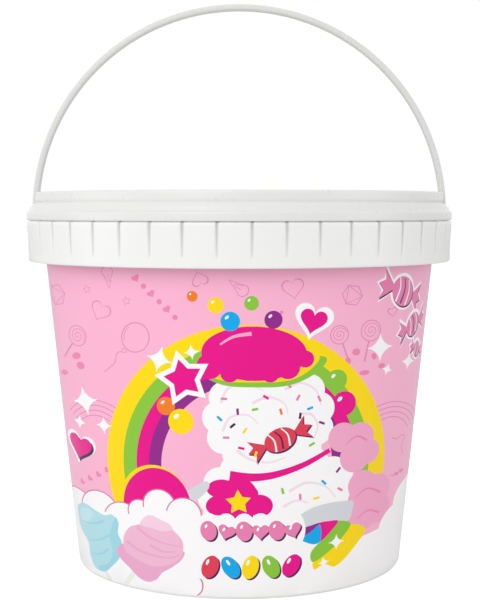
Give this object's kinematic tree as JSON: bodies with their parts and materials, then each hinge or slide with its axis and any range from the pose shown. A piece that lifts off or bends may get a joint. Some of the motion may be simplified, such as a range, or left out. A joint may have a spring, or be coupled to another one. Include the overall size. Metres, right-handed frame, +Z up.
{
  "type": "plastic pail of cotton candy with bail handle",
  "caption": "Round one litre plastic pail of cotton candy with a ribbed collar, a press-on lid, a thin swinging bail handle and a colourful printed wall.",
  "frame": {"origin": "centre of the pail's footprint, on the surface that it stands on", "axes": "+Z up along the pail's axis, -Y towards the front of the print, +X to the right seen from the front and along the bail's hinge"},
  "size_m": [0.1326, 0.1328, 0.1741],
  "materials": {
    "tub": "white polypropylene with a glossy pink print moulded into the wall",
    "lid": "white polypropylene, smooth and glossy",
    "handle": "white polypropylene, smooth and satin"
  },
  "bodies": {
    "pail": {"tub": "tub", "lid": "lid"},
    "bail": {"handle": "handle"}
  },
  "joints": [
    {"name": "bail_swing", "type": "hinge", "parent": "pail", "child": "bail", "pos_m": [0, 0, 0.1089], "axis": [1, 0, 0], "range_deg": [-65, 65]}
  ]
}
